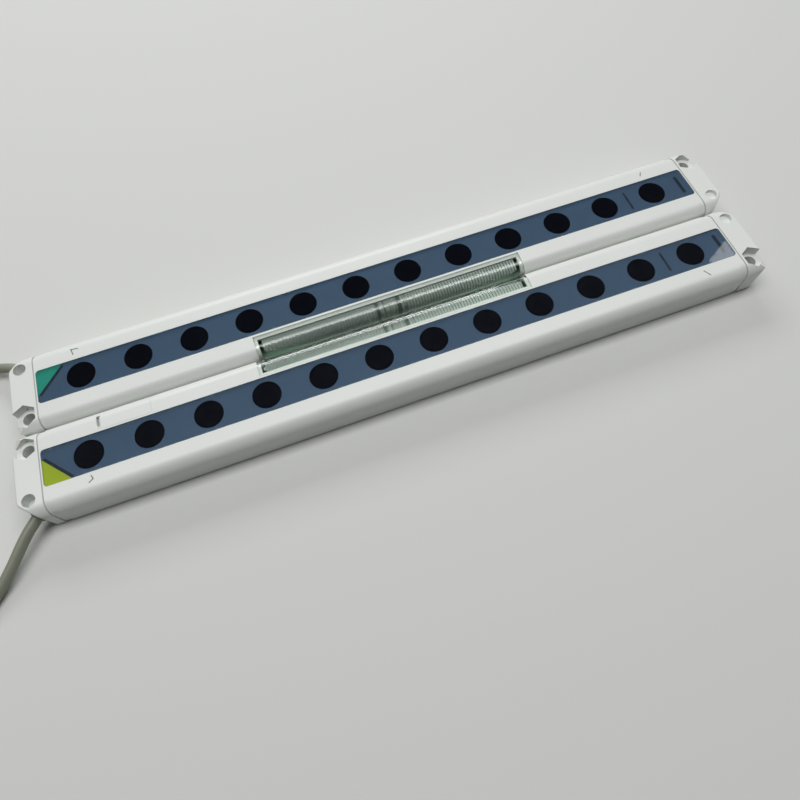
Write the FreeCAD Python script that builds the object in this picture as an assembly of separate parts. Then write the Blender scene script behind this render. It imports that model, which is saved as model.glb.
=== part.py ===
"""Safety light curtain: a pair of slim sensor bars that lie side by side, front windows up.

The far bar is the emitter and the near bar is the receiver, its mirror image. Every piece of a bar
is made in the bar's own frame: X along the bar, Y outwards (away from the other bar), Z up, with
the origin in the middle of the bar's back. Millimetres throughout.
"""
import FreeCAD, Part
import math
import os

Vector = FreeCAD.Vector

# Bar, outside
bar_length = 268.0
bar_width = 30.0
bar_height = 13.0
front_edge_radius = 4.5
back_edge_radius = 0.8
pair_gap = 0.3
near_bar_shift = -1.3

# Housing
side_wall = 1.8
back_wall = 1.6
front_wall = 2.1
end_band_length = 2.0
end_band_step = 0.25
rail_width = 1.2
rail_height = 1.2
rail_inset = 1.6

# Clearances
fit_gap = 0.05
running_gap = 0.2

# End caps and their gaskets
cap_length = 8.3
cap_corner = 5.4
cap_corner_radius = 2.4
cap_edge_radius = 0.6
gasket_thickness = 0.4
gasket_inset = 0.35
gasket_rim = 2.6

# Mounting hole through each cap, with a pocket for a nut, and a blind round hole at its other corner
mount_inset_x = 3.9
mount_inset_y = 5.8
mount_hole_radius = 2.2
nut_across_flats = 7.2
nut_pocket_depth = 3.2
left_blind_depth = 4.0
right_blind_depth = 1.2

# Screws that hold the caps
cap_screw_spacing = 7.2
cap_screw_height = 6.5
cap_screw_radius = 1.1
cap_screw_length = 12.0
cap_screw_head_radius = 1.9
cap_screw_head_height = 1.3
cap_screw_recess = 1.9
screw_boss_length = 6.6
screw_boss_rim = 2.0

# Beams
beam_pitch = 20.0
beam_spot_diameter = 10.0

# Front window, the printed film behind it and the coloured corner of the film
window_width = 13.0
window_thickness = 0.8
window_end_margin = 0.4
window_corner_radius = 1.2
film_thickness = 0.15
patch_length = 8.9
patch_width = 9.7

# Optics behind the film
slot_width = 11.4
optics_end_margin = 1.5
lens_plate_thickness = 1.05
lens_depth = 1.0
lens_radius = 4.6
lens_seat = 0.2
aperture_base_half = 2.3

# Circuit board and what stands on it
board_thickness = 1.2
led_height = 3.6
led_foot_height = 0.8
diode_size = 3.6
diode_height = 1.4
diode_lens_height = 0.6
diode_lens_radius = 1.3
chip_spacing = 60.0
chip_length = 5.0
chip_width = 4.0
chip_height = 1.5
connector_length = 5.0
connector_inset = 0.8
connector_height = 4.4
connector_wall = 0.6
wire_radius = 0.45
wire_stagger = 0.45
wire_count = 4

# Indicator window, let into the inner long edge of the front
indicator_length = 101.0
indicator_land = 0.8
indicator_sill = 3.6
indicator_thickness = 1.2
indicator_ledge = 1.2

# Light guide behind the indicator window
guide_length = 96.0
guide_top_gap = 0.5
guide_side_gap = 0.2
guide_base_gap = 0.6
guide_block_length = 12.0
guide_tip_height = 1.2
guide_tooth_pitch = 1.1
guide_tooth_depth = 0.45
guide_column_radius = 0.9
indicator_led_pitch = 3.6
indicator_led_radius = 1.0

# Cover over the adjusters, on the near bar only
cover_inset = 20.7
cover_length = 16.9
cover_notch_length = 1.2
cover_notch_depth = 0.9
cover_notch_reach = 1.7
cover_notch_start = 0.3

# Cables
cable_diameter = 3.6
cable_height = 6.0
bush_radius = 2.7
bush_length = 1.6
bush_nose = 0.7
bush_nose_radius = 2.15
cable_bore_gap = 0.1
bush_bore_gap = 0.05
cable_start = -3.0
cable_bore_start = -7.5
lead_pocket_depth = 1.8
lead_pocket_width = 5.5
lead_pocket_height = 5.0
coil_radius = 21.0
coil_columns = 4
coil_full_layers = 3
coil_tail_angle = 150.0
coil_slack = 0.1
tie_lead = 28.0
core_length = 15.0
core_radius = 0.55
core_offset = 0.75
tie_width = 4.0
tie_thickness = 0.8
tie_slack = 0.25
tie_head = 4.4

# Worked out from the above
half_length = bar_length / 2
half_width = bar_width / 2
seam = half_length - cap_length
housing_half = seam - gasket_thickness
bar_offset_y = (bar_width + pair_gap) / 2
cavity_half_width = half_width - side_wall
cavity_top = bar_height - front_wall
window_half = housing_half - window_end_margin
window_bottom = bar_height - window_thickness
film_bottom = window_bottom - film_thickness
board_bottom = back_wall + rail_height
board_top = board_bottom + board_thickness
boss_start = housing_half - screw_boss_length
board_half = boss_start - optics_end_margin
board_half_width = cavity_half_width - running_gap
beam_count = int(2 * (board_half - lens_radius) / beam_pitch) + 1
lens_plate_bottom = film_bottom - lens_plate_thickness
mount_x = half_length - mount_inset_x
mount_y = half_width - mount_inset_y
cable_radius = cable_diameter / 2
indicator_top_edge = window_width / 2 + indicator_land
cover_left = -housing_half + cover_inset
guide_outer_y = -cavity_half_width + guide_side_gap
guide_inner_y = -indicator_top_edge - indicator_ledge - fit_gap * 2
indicator_center_y = (guide_outer_y + guide_inner_y) / 2
coil_width = coil_columns * cable_diameter
coil_height = coil_full_layers * cable_diameter
coil_outer_turn = coil_radius + coil_width / 2 - cable_radius
tie_inner = coil_radius - coil_width / 2 - tie_slack
tie_outer = coil_radius + coil_width / 2 + tie_slack
top_turn_height = coil_height + cable_radius - coil_slack
exit_x = -half_length + cap_corner / 2
exit_y = half_width - cap_corner / 2

# Routes of the two cables as far as their coils, each point from the middle of the cable's exit along the
# row's X and Y, with its height above the surface; the first point lies inside the cap
emitter_route = [
    (2.12, -2.12, 6.0),
    (-2.26, 2.26, 6.0),
    (-7.7, 5.4, 5.2),
    (-15.2, 8.2, 3.2),
    (-23.4, 10.8, 1.85),
    (-30.9, 12.6, 1.85),
]
receiver_route = [
    (2.12, 2.12, 6.0),
    (-2.26, -2.26, 6.0),
    (-6.3, -7.0, 5.3),
    (-11.4, -13.5, 3.6),
    (-17.9, -20.2, 1.85),
    (-24.6, -26.2, 1.85),
]


def block(x0, x1, y0, y1, z0, z1):
    """A box between two corners."""
    return Part.makeBox(x1 - x0, y1 - y0, z1 - z0, Vector(x0, y0, z0))


def upright(radius, x, y, z0, z1):
    """A vertical cylinder."""
    return Part.makeCylinder(radius, z1 - z0, Vector(x, y, z0))


def lengthwise(radius, x0, x1, y, z):
    """A cylinder along the bar."""
    return Part.makeCylinder(radius, x1 - x0, Vector(x0, y, z), Vector(1, 0, 0))


def corner_arc(y, z, radius, start):
    """A quarter circle in the YZ plane about (y, z), from the angle start in degrees."""
    points = []
    for step in (0, 45, 90):
        angle = math.radians(start + step)
        points.append(Vector(0, y + radius * math.cos(angle), z + radius * math.sin(angle)))
    return Part.Arc(*points).toShape()


def section(half, bottom, top, top_radius, bottom_radius, x0, x1):
    """A bar of rounded section: half its width, its lowest and highest z, from x0 to x1."""
    arcs = [
        corner_arc(half - top_radius, top - top_radius, top_radius, 0),
        corner_arc(-half + top_radius, top - top_radius, top_radius, 90),
        corner_arc(-half + bottom_radius, bottom + bottom_radius, bottom_radius, 180),
        corner_arc(half - bottom_radius, bottom + bottom_radius, bottom_radius, 270),
    ]
    edges = []
    for arc, following in zip(arcs, arcs[1:] + arcs[:1]):
        edges.append(arc)
        edges.append(Part.makeLine(arc.lastVertex().Point, following.firstVertex().Point))
    face = Part.Face(Part.Wire(edges))
    face.translate(Vector(x0, 0, 0))
    return face.extrude(Vector(x1 - x0, 0, 0))


def bar_section(x0, x1, inset=0.0):
    """The outer section of the bar, or one that lies inside it by inset."""
    return section(
        half_width - inset,
        inset,
        bar_height - inset,
        front_edge_radius - inset,
        back_edge_radius - min(inset, back_edge_radius / 2),
        x0,
        x1,
    )


def plan_prism(points, z0, z1):
    """An upright prism on a polygon of (x, y) points."""
    corners = [Vector(x, y, z0) for x, y in points]
    face = Part.Face(Part.makePolygon(corners + corners[:1]))
    return face.extrude(Vector(0, 0, z1 - z0))


def upright_edges(shape, chosen=lambda point: True):
    """The vertical edges of a shape whose middle point is chosen."""
    found = []
    for edge in shape.Edges:
        first = edge.Vertexes[0].Point
        last = edge.Vertexes[-1].Point
        if abs(first.x - last.x) < 1e-6 and abs(first.y - last.y) < 1e-6 and chosen((first + last) / 2):
            found.append(edge)
    return found


def rounded_plate(half_x, half_y, z0, z1, radius):
    """A flat plate about the origin with rounded upright edges."""
    plate = block(-half_x, half_x, -half_y, half_y, z0, z1)
    return plate.makeFillet(radius, upright_edges(plate))


def edge_shell(x0, x1, top_edge, sill, thickness):
    """The strip of shell over the inner long edge of the front, from top_edge down to the side's sill."""
    shell = bar_section(x0, x1).cut(bar_section(x0 - 1, x1 + 1, thickness))
    return shell.common(block(x0, x1, -half_width - 1, -top_edge, sill, bar_height + 1))


def beam_places():
    """The beams' places along the bar."""
    first = -(beam_count - 1) / 2 * beam_pitch
    return [first + index * beam_pitch for index in range(beam_count)]


def housing(covered_opening):
    """The long housing: a hollow section with the window's recess, the openings and the screws' bosses."""
    band_start = housing_half - end_band_length
    body = bar_section(-band_start, band_start)
    for start in (-housing_half, band_start):
        band = section(
            half_width - end_band_step,
            0,
            bar_height,
            front_edge_radius,
            back_edge_radius,
            start,
            start + end_band_length,
        )
        body = body.fuse(band)
    cavity = section(
        cavity_half_width,
        back_wall,
        cavity_top,
        front_edge_radius - side_wall,
        back_edge_radius,
        -housing_half - 1,
        housing_half + 1,
    )
    boss_half_width = cap_screw_spacing / 2 + screw_boss_rim
    for side in (-1, 1):
        ends = sorted((side * boss_start, side * (housing_half + 1)))
        cavity = cavity.cut(block(*ends, -boss_half_width, boss_half_width, back_wall, cavity_top))
        rail_y = side * (cavity_half_width - rail_inset)
        rail = sorted((rail_y, rail_y - side * rail_width))
        cavity = cavity.cut(block(-boss_start, boss_start, *rail, back_wall, board_bottom))
    body = body.cut(cavity)
    recess = rounded_plate(
        window_half + fit_gap,
        window_width / 2 + fit_gap,
        film_bottom,
        bar_height + 1,
        window_corner_radius + fit_gap,
    )
    slot = block(-board_half, board_half, -slot_width / 2, slot_width / 2, cavity_top - 1, bar_height)
    body = body.cut(recess).cut(slot)
    openings = [(-indicator_length / 2, indicator_length / 2)]
    if covered_opening:
        openings.append((cover_left, cover_left + cover_length))
    for left, right in openings:
        seat = edge_shell(
            left - fit_gap,
            right + fit_gap,
            indicator_top_edge - fit_gap,
            indicator_sill - fit_gap,
            indicator_thickness,
        )
        through = edge_shell(
            left + indicator_ledge,
            right - indicator_ledge,
            indicator_top_edge + indicator_ledge,
            indicator_sill + indicator_ledge,
            side_wall + front_wall,
        )
        body = body.cut(seat).cut(through)
    if covered_opening:
        body = body.cut(cover_notch())
    for side in (-1, 1):
        for y in (-cap_screw_spacing / 2, cap_screw_spacing / 2):
            ends = sorted((side * (boss_start - 1), side * (housing_half + 1)))
            body = body.cut(lengthwise(cap_screw_radius, *ends, y, cap_screw_height))
    return body.removeSplitter()


def cover_notch():
    """The cut for the sloping notch at the cover's left end, where a tool lifts the cover."""
    outer_y = -half_width + front_edge_radius - cover_notch_reach
    inner_y = -indicator_top_edge + cover_notch_start
    start = cover_left - cover_notch_length
    corners = [
        Vector(start, outer_y, bar_height),
        Vector(cover_left, outer_y, bar_height - cover_notch_depth),
        Vector(cover_left, outer_y, bar_height + 1),
        Vector(start, outer_y, bar_height + 1),
    ]
    face = Part.Face(Part.makePolygon(corners + corners[:1]))
    return face.extrude(Vector(0, inner_y - outer_y, 0))


def front_window():
    """The clear strip that closes the front, flush with it."""
    return rounded_plate(window_half, window_width / 2, window_bottom, bar_height, window_corner_radius)


def patch_prism(z0, z1):
    """The coloured corner of the film, a triangle at its left outer corner."""
    corner = (-window_half, window_width / 2)
    along = (-window_half + patch_length, window_width / 2)
    across = (-window_half, window_width / 2 - patch_width)
    return plan_prism([corner, across, along], z0, z1)


def print_film():
    """The printed film behind the window, with a clear round spot for each beam."""
    film = rounded_plate(window_half, window_width / 2, film_bottom, window_bottom, window_corner_radius)
    for x in beam_places():
        film = film.cut(upright(beam_spot_diameter / 2, x, 0, film_bottom, window_bottom))
    return film.cut(patch_prism(film_bottom - 1, window_bottom + 1))


def colour_patch():
    """The coloured corner itself, in the film's plane."""
    film = rounded_plate(window_half, window_width / 2, film_bottom, window_bottom, window_corner_radius)
    return film.common(patch_prism(film_bottom, window_bottom))


def lens_array():
    """The strip of dark lenses behind the film, flat in front, each lens stepped towards the board."""
    half_x = board_half - running_gap
    half_y = slot_width / 2 - fit_gap * 2
    plate = block(-half_x, half_x, -half_y, half_y, lens_plate_bottom, film_bottom)
    for x in beam_places():
        base = Vector(x, 0, lens_plate_bottom - lens_depth)
        plate = plate.fuse(Part.makeCone(lens_radius / 2, lens_radius, lens_depth, base))
    return plate.removeSplitter()


def square_outline(half, x, z):
    """A closed level square about (x, 0), half its side each way."""
    corners = [(x - half, -half), (x + half, -half), (x + half, half), (x - half, half)]
    points = [Vector(cx, cy, z) for cx, cy in corners]
    return Part.makePolygon(points + points[:1])


def optics_holder():
    """The black holder that keeps each lens over its own diode, with a flared hole for each beam."""
    half_x = board_half - running_gap
    half_y = slot_width / 2 - running_gap
    holder = block(-half_x, half_x, -half_y, half_y, board_top, lens_plate_bottom)
    for x in beam_places():
        small = square_outline(aperture_base_half, x, board_top)
        large = square_outline(lens_radius + lens_seat, x, lens_plate_bottom)
        holder = holder.cut(Part.makeLoft([small, large], True, True))
    return holder


def beam_diodes(lens_top_radius):
    """The square diodes under the lenses, each with a small lens: round, or square if it has no radius."""
    diodes = []
    half = diode_size / 2
    lens_top = board_top + diode_height + diode_lens_height
    for x in beam_places():
        base = block(x - half, x + half, -half, half, board_top, board_top + diode_height)
        if lens_top_radius:
            lens = upright(lens_top_radius, x, 0, board_top, lens_top)
        else:
            lens = block(x - half / 2, x + half / 2, -half / 2, half / 2, board_top, lens_top)
        diodes.append(base.fuse(lens).removeSplitter())
    return diodes


def circuit_board():
    """The circuit board, which rests on the housing's two rails."""
    return block(-board_half, board_half, -board_half_width, board_half_width, board_bottom, board_top)


def driver_chips():
    """The chips on the board, on the outer side of the optics holder."""
    chips = []
    y = (slot_width / 2 + board_half_width) / 2
    for x in (-chip_spacing, 0, chip_spacing):
        chip = block(
            x - chip_length / 2,
            x + chip_length / 2,
            y - chip_width / 2,
            y + chip_width / 2,
            board_top,
            board_top + chip_height,
        )
        chips.append(chip.makeChamfer(0.3, chip.Faces[5].Edges))
    return chips


def lead_connector():
    """The socket on the board that takes the cable's cores."""
    x0 = -board_half + running_gap
    y0 = slot_width / 2 + running_gap
    x1 = x0 + connector_length
    y1 = board_half_width - connector_inset
    top = board_top + connector_height
    shell = block(x0, x1, y0, y1, board_top, top)
    hollow = block(
        x0 - 1,
        x1 - connector_wall,
        y0 + connector_wall,
        y1 - connector_wall,
        board_top + connector_wall,
        top - connector_wall,
    )
    return shell.cut(hollow)


def lead_wires():
    """The cable's cores, from the end of its sheath inside the cap to the socket on the board."""
    depth = -cable_start / math.sqrt(2)
    entry = Vector(exit_x + depth, exit_y - depth, cable_height)
    inward = Vector(1, -1, 0).normalize()
    across = Vector(1, 1, 0).normalize()
    x1 = -board_half + connector_length - connector_wall
    near = slot_width / 2 + running_gap + connector_wall + wire_radius + fit_gap
    far = board_half_width - connector_inset - connector_wall - wire_radius - fit_gap
    wires = []
    for index in range(wire_count):
        place = index - (wire_count - 1) / 2
        lift = wire_stagger if index % 2 else -wire_stagger
        start = entry + inward * (wire_radius * 2) + across * (place * wire_radius * 1.6)
        start.z += lift
        y = near + (far - near) * index / (wire_count - 1)
        end = Vector(x1, y, board_top + connector_height / 2 + lift)
        wires.append(Part.makeCylinder(wire_radius, (end - start).Length, start, end - start))
    return wires


def indicator_window():
    """The clear window over the indicator, shaped to the inner long edge of the front."""
    half = indicator_length / 2
    return edge_shell(-half, half, indicator_top_edge, indicator_sill, indicator_thickness)


def guide_arm(side):
    """One arm of the light guide: its toothed underside climbs in a curve from the middle to a thin tip."""
    start = guide_block_length / 2
    end = guide_length / 2
    top = bar_height - indicator_thickness - guide_top_gap
    low = board_top + guide_base_gap
    rise = top - guide_tip_height - low
    teeth = int((end - start) / guide_tooth_pitch)
    corners = [Vector(side * (start - 1), 0, top), Vector(side * end, 0, top)]
    for index in range(teeth, -1, -1):
        x = start + index * guide_tooth_pitch
        z = low + rise * ((x - start) / (end - start)) ** 2
        corners.append(Vector(side * min(x + guide_tooth_pitch * 0.35, end), 0, z))
        corners.append(Vector(side * x, 0, z + guide_tooth_depth))
    corners.append(Vector(side * (start - 1), 0, low))
    face = Part.Face(Part.makePolygon(corners + corners[:1]))
    arm = face.extrude(Vector(0, guide_inner_y - guide_outer_y, 0))
    arm.translate(Vector(0, guide_outer_y, 0))
    return arm


def light_guide():
    """The clear light guide: two toothed arms on a middle block that stands over the indicator's diodes."""
    top = bar_height - indicator_thickness - guide_top_gap
    low = board_top + guide_base_gap
    half = guide_block_length / 2
    guide = block(-half, half, guide_outer_y + guide_column_radius / 2, guide_inner_y, low, top)
    column_y = guide_outer_y + guide_column_radius
    for index in (-1, 0, 1):
        guide = guide.fuse(upright(guide_column_radius, index * indicator_led_pitch, column_y, low, top))
    guide = guide.fuse([guide_arm(-1), guide_arm(1)])
    for x in (-indicator_led_pitch / 2, indicator_led_pitch / 2):
        pocket_radius = indicator_led_radius + running_gap
        guide = guide.cut(upright(pocket_radius, x, indicator_center_y, low - 1, board_top + led_height + 1))
    end = guide_length / 2
    return guide.common(bar_section(-end, end, indicator_thickness + guide_top_gap)).removeSplitter()


def indicator_leds():
    """The two round diodes of the indicator, with bevelled lenses on wider feet."""
    leds = []
    radius = indicator_led_radius
    bevel_start = board_top + led_height - radius
    y = indicator_center_y
    for x in (-indicator_led_pitch / 2, indicator_led_pitch / 2):
        foot = upright(radius + running_gap / 2, x, y, board_top, board_top + led_foot_height)
        stem = upright(radius, x, y, board_top, bevel_start)
        bevel = Part.makeCone(radius, radius / 2, radius, Vector(x, y, bevel_start))
        leds.append(foot.fuse([stem, bevel]).removeSplitter())
    return leds


def adjuster_cover():
    """The flush cover in the near bar's inner long edge."""
    right = cover_left + cover_length
    return edge_shell(cover_left, right, indicator_top_edge, indicator_sill, indicator_thickness)


def cap(with_cable):
    """A left end cap. Turned half round, the one without the cable's bore is the right cap."""
    profile = bar_section(-half_length, -seam)
    outline = [
        (-seam, half_width),
        (-half_length + cap_corner, half_width),
        (-half_length, half_width - cap_corner),
        (-half_length, -half_width + cap_corner),
        (-half_length + cap_corner, -half_width),
        (-seam, -half_width),
    ]
    plan = plan_prism(outline, 0, bar_height)
    corners = upright_edges(plan, lambda point: point.x < -seam - 0.5)
    body = profile.common(plan.makeFillet(cap_corner_radius, corners)).removeSplitter()
    rim = []
    for edge in body.Edges:
        box = edge.BoundBox
        on_end = box.XMax < -mount_x and box.ZMin > bar_height - 0.01
        if on_end and box.YLength > box.XLength:
            rim.append(edge)
    body = body.makeFillet(cap_edge_radius, rim)
    x = -mount_x
    blind_depth = left_blind_depth if with_cable else right_blind_depth
    body = body.cut(upright(mount_hole_radius, x, mount_y, bar_height - blind_depth, bar_height + 1))
    body = body.cut(upright(mount_hole_radius, x, -mount_y, -1, bar_height + 1))
    reach = nut_across_flats / math.sqrt(3)
    hexagon = []
    for index in range(6):
        angle = math.radians(30 + 60 * index)
        hexagon.append((x + reach * math.cos(angle), -mount_y + reach * math.sin(angle)))
    body = body.cut(plan_prism(hexagon, bar_height - nut_pocket_depth, bar_height + 1))
    for y in (-cap_screw_spacing / 2, cap_screw_spacing / 2):
        recess_end = -half_length + cap_screw_recess
        head_radius = cap_screw_head_radius + running_gap
        head = lengthwise(head_radius, -half_length - 1, recess_end, y, cap_screw_height)
        shank = lengthwise(cap_screw_radius + running_gap, -half_length, -seam + 1, y, cap_screw_height)
        body = body.cut(head).cut(shank)
    if with_cable:
        pocket_y0 = cap_screw_spacing / 2 + screw_boss_rim
        pocket = block(
            -seam - lead_pocket_depth,
            -seam + 1,
            pocket_y0,
            pocket_y0 + lead_pocket_width,
            cable_height - lead_pocket_height / 2,
            cable_height + lead_pocket_height / 2,
        )
        bore = cable_axis_cylinder(cable_radius + cable_bore_gap, cable_bore_start, 1)
        seat = cable_axis_cylinder(bush_radius, -bush_length, 1)
        body = body.cut(pocket).cut(bore).cut(seat)
    return body.removeSplitter()


def cable_axis_cylinder(radius, start, end):
    """A cylinder on the axis of the cable's exit, between two distances outwards from the corner's face."""
    outward = Vector(-1, 1, 0).normalize()
    base = Vector(exit_x, exit_y, cable_height) + outward * start
    return Part.makeCylinder(radius, end - start, base, outward)


def cable_bush():
    """The rubber bush in the cap's corner, with a short tapered nose round the cable."""
    outward = Vector(-1, 1, 0).normalize()
    face_point = Vector(exit_x, exit_y, cable_height)
    seat = cable_axis_cylinder(bush_radius, -bush_length, 0)
    nose = Part.makeCone(bush_radius, bush_nose_radius, bush_nose, face_point, outward)
    bore = cable_axis_cylinder(cable_radius + bush_bore_gap, -bush_length - 1, bush_nose + 1)
    return seat.fuse(nose).cut(bore).removeSplitter()


def gasket(side):
    """The thin gasket between the housing and a cap, set in a little from the outside."""
    ends = sorted((side * housing_half, side * seam))
    outer = bar_section(*ends, gasket_inset)
    inner = section(
        half_width - gasket_rim,
        gasket_rim,
        bar_height - gasket_rim,
        front_edge_radius - gasket_rim / 2,
        back_edge_radius,
        ends[0] - 1,
        ends[1] + 1,
    )
    return outer.cut(inner)


def cap_screws():
    """The four screws that hold the caps."""
    screws = []
    for side in (-1, 1):
        for y in (-cap_screw_spacing / 2, cap_screw_spacing / 2):
            seat = half_length - cap_screw_recess
            head_top = seat + cap_screw_head_height
            head = sorted((side * seat, side * head_top))
            shank = sorted((side * seat, side * (seat - cap_screw_length)))
            screw = lengthwise(cap_screw_head_radius, *head, y, cap_screw_height)
            screw = screw.fuse(lengthwise(cap_screw_radius, *shank, y, cap_screw_height))
            screws.append(screw.removeSplitter())
    return screws


def cable_tube(name, route):
    """The cable's stretch up to its coil: straight runs joined by arcs as large as the runs allow."""
    points = [Vector(*place) for place in route]
    edges = []
    start = points[0]
    radii = []
    for before, point, after in zip(points, points[1:], points[2:]):
        to_before = (before - point).normalize()
        to_after = (after - point).normalize()
        half_turn = (math.pi - to_before.getAngle(to_after)) / 2
        cut = 0.45 * min((before - point).Length, (after - point).Length)
        radii.append(cut / math.tan(half_turn))
        arc_start = point + to_before * cut
        arc_end = point + to_after * cut
        towards = (to_before + to_after).normalize()
        center = point + towards * (cut / math.sin(half_turn))
        middle = center - towards * radii[-1]
        edges.append(Part.makeLine(start, arc_start))
        edges.append(Part.Arc(arc_start, middle, arc_end).toShape())
        start = arc_end
    edges.append(Part.makeLine(start, points[-1]))
    path = Part.Wire(edges)
    ring = Part.Wire(Part.makeCircle(cable_radius, points[0], points[1] - points[0]))
    tube = path.makePipeShell([ring], True, False)
    expected = math.pi * cable_radius ** 2 * path.Length
    print(name, "radii", [round(radius, 1) for radius in radii])
    print(name, "volume over section times length", round(tube.Volume / expected, 5))
    return tube


def coil_frame(route, turn):
    """Where a cable joins its coil, which way it runs there and the coil's centre. turn is 1 leftwards."""
    end = Vector(*route[-1])
    travel = (end - Vector(*route[-2])).normalize()
    inwards = Vector(-travel.y, travel.x, 0) * turn
    outer = coil_radius + coil_width / 2
    lead_in = math.sqrt(outer ** 2 - (coil_outer_turn - cable_radius) ** 2) + running_gap
    join = end + travel * lead_in
    center = join + inwards * coil_outer_turn
    center.z = 0
    return end, join, center, travel, inwards


def tie_loop(center, angle):
    """The strap round the coil, with its head, at an angle in radians about the coil's centre."""
    top = top_turn_height + cable_radius + tie_slack
    half = tie_width / 2
    loop = block(tie_inner - tie_thickness, tie_outer + tie_thickness, -half, half, 0, top + tie_thickness)
    loop = loop.cut(block(tie_inner, tie_outer, -half - 1, half + 1, tie_thickness, top))
    head_out = tie_outer + tie_head * 0.75
    head = block(tie_outer, head_out, -tie_head / 2, tie_head / 2, coil_height / 2, coil_height)
    loop = loop.fuse(head)
    loop.rotate(Vector(0, 0, 0), Vector(0, 0, 1), math.degrees(angle))
    loop.translate(center)
    return loop.removeSplitter()


def column_radius(column):
    """The radius of a turn in one of the coil's columns, counted from the inside."""
    return coil_radius + (column - (coil_columns - 1) / 2) * cable_diameter


def ring_of(outline, degrees):
    """A solid of revolution about the coil's axis from a closed outline of points, each an r and a z."""
    corners = [Vector(r, 0, z) for r, z in outline]
    face = Part.Face(Part.makePolygon(corners + corners[:1]))
    return face.revolve(Vector(0, 0, 0), Vector(0, 0, 1), degrees)


def cable_coil(route, turn, tie):
    """The outer shape of the coil: the wound ring with its lead-in, and the cable's tail on its step."""
    end, join, center, travel, inwards = coil_frame(route, turn)
    outer = coil_radius + coil_width / 2 + coil_slack
    inner = coil_radius - coil_width / 2 - coil_slack
    step = column_radius(coil_columns - 2) + cable_radius
    top = top_turn_height + cable_radius
    ease = cable_radius / 2
    outline = [
        (inner, ease),
        (inner + ease, 0),
        (outer - ease, 0),
        (outer, ease),
        (outer, coil_height),
        (step, coil_height),
        (step, top - ease),
        (step - ease, top),
        (inner + ease, top),
        (inner, top - ease),
    ]
    ring = ring_of(outline, 360)
    last_turn = column_radius(coil_columns - 1)
    tail_outline = [
        (step - ease, coil_height - ease),
        (last_turn + ease, coil_height - ease),
        (last_turn + cable_radius, top_turn_height - ease),
        (last_turn + cable_radius, top_turn_height + ease),
        (last_turn + ease, top),
        (last_turn - ease, top),
        (step - ease, top_turn_height + ease),
    ]
    tail = ring_of(tail_outline, coil_tail_angle)
    if turn < 0:
        tail.rotate(Vector(0, 0, 0), Vector(0, 0, 1), -coil_tail_angle)
    coil = ring.fuse(tail)
    join_angle = math.degrees(math.atan2(-inwards.y, -inwards.x))
    coil.rotate(Vector(0, 0, 0), Vector(0, 0, 1), join_angle)
    coil.translate(center)
    lead = Part.makeCylinder(cable_radius, (join - end).Length, end, travel)
    return coil.fuse(lead).cut(tie).removeSplitter()


def cable_cores(route, turn):
    """The bare cores at the cable's far end, which lie on the coil."""
    end, join, center, travel, inwards = coil_frame(route, turn)
    angle = math.atan2(-inwards.y, -inwards.x) + turn * math.radians(coil_tail_angle)
    outwards = Vector(math.cos(angle), math.sin(angle), 0)
    onward = Vector(-math.sin(angle), math.cos(angle), 0) * turn
    start = center + outwards * column_radius(coil_columns - 1) + Vector(0, 0, top_turn_height)
    cores = []
    for side, lift in ((-1, -1), (1, -1), (-1, 1), (1, 1)):
        place = start + outwards * (side * core_offset) + Vector(0, 0, lift * core_offset)
        cores.append(Part.makeCylinder(core_radius, core_length, place, onward))
    return cores


def bar_place(shape, side):
    """A shape of the bar's frame, put in its place: side is 1 for the far bar and -1 for the near one."""
    placed = shape.copy()
    if side < 0:
        placed = placed.mirror(Vector(0, 0, 0), Vector(0, 1, 0))
    placed.translate(Vector(-side * near_bar_shift / 2, side * bar_offset_y, 0))
    return placed


def turned(shape):
    """A shape turned half round about the bar's own Z axis."""
    copy = shape.copy()
    copy.rotate(Vector(0, 0, 0), Vector(0, 0, 1), 180)
    return copy


def bar_pieces(prefix, side, route, turn):
    """Every piece of one bar with its cable, by name."""
    pieces = {
        "housing": housing(covered_opening=side < 0),
        "front_window": front_window(),
        "print_film": print_film(),
        "colour_patch": colour_patch(),
        "lens_array": lens_array(),
        "optics_holder": optics_holder(),
        "beam_diodes": beam_diodes(diode_lens_radius if side > 0 else None),
        "circuit_board": circuit_board(),
        "driver_chips": driver_chips(),
        "lead_connector": lead_connector(),
        "lead_wires": lead_wires(),
        "indicator_window": indicator_window(),
        "light_guide": light_guide(),
        "indicator_leds": indicator_leds(),
        "left_cap": cap(with_cable=True),
        "right_cap": turned(cap(with_cable=False)),
        "left_gasket": gasket(-1),
        "right_gasket": gasket(1),
        "cap_screws": cap_screws(),
        "cable_bush": cable_bush(),
    }
    if side < 0:
        pieces["adjuster_cover"] = adjuster_cover()
    placed = {}
    for name, made in pieces.items():
        solids = made if isinstance(made, list) else [made]
        placed[prefix + name] = [bar_place(solid, side) for solid in solids]
    end, join, center, travel, inwards = coil_frame(route, turn)
    tie_angle = math.atan2(-inwards.y, -inwards.x) + turn * math.radians(coil_tail_angle - tie_lead)
    tie = tie_loop(center, tie_angle)
    placed[prefix + "cable"] = [cable_tube(prefix + "cable", route)]
    placed[prefix + "cable_tie"] = [tie]
    placed[prefix + "cable_coil"] = [cable_coil(route, turn, tie)]
    placed[prefix + "cable_cores"] = cable_cores(route, turn)
    return placed


def row_route(offsets, side):
    """A cable's route in the row frame, from the offsets of its points from the cable's exit."""
    origin = (exit_x - side * near_bar_shift / 2, side * (exit_y + bar_offset_y))
    return [(origin[0] + dx, origin[1] + dy, z) for dx, dy, z in offsets]


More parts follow.
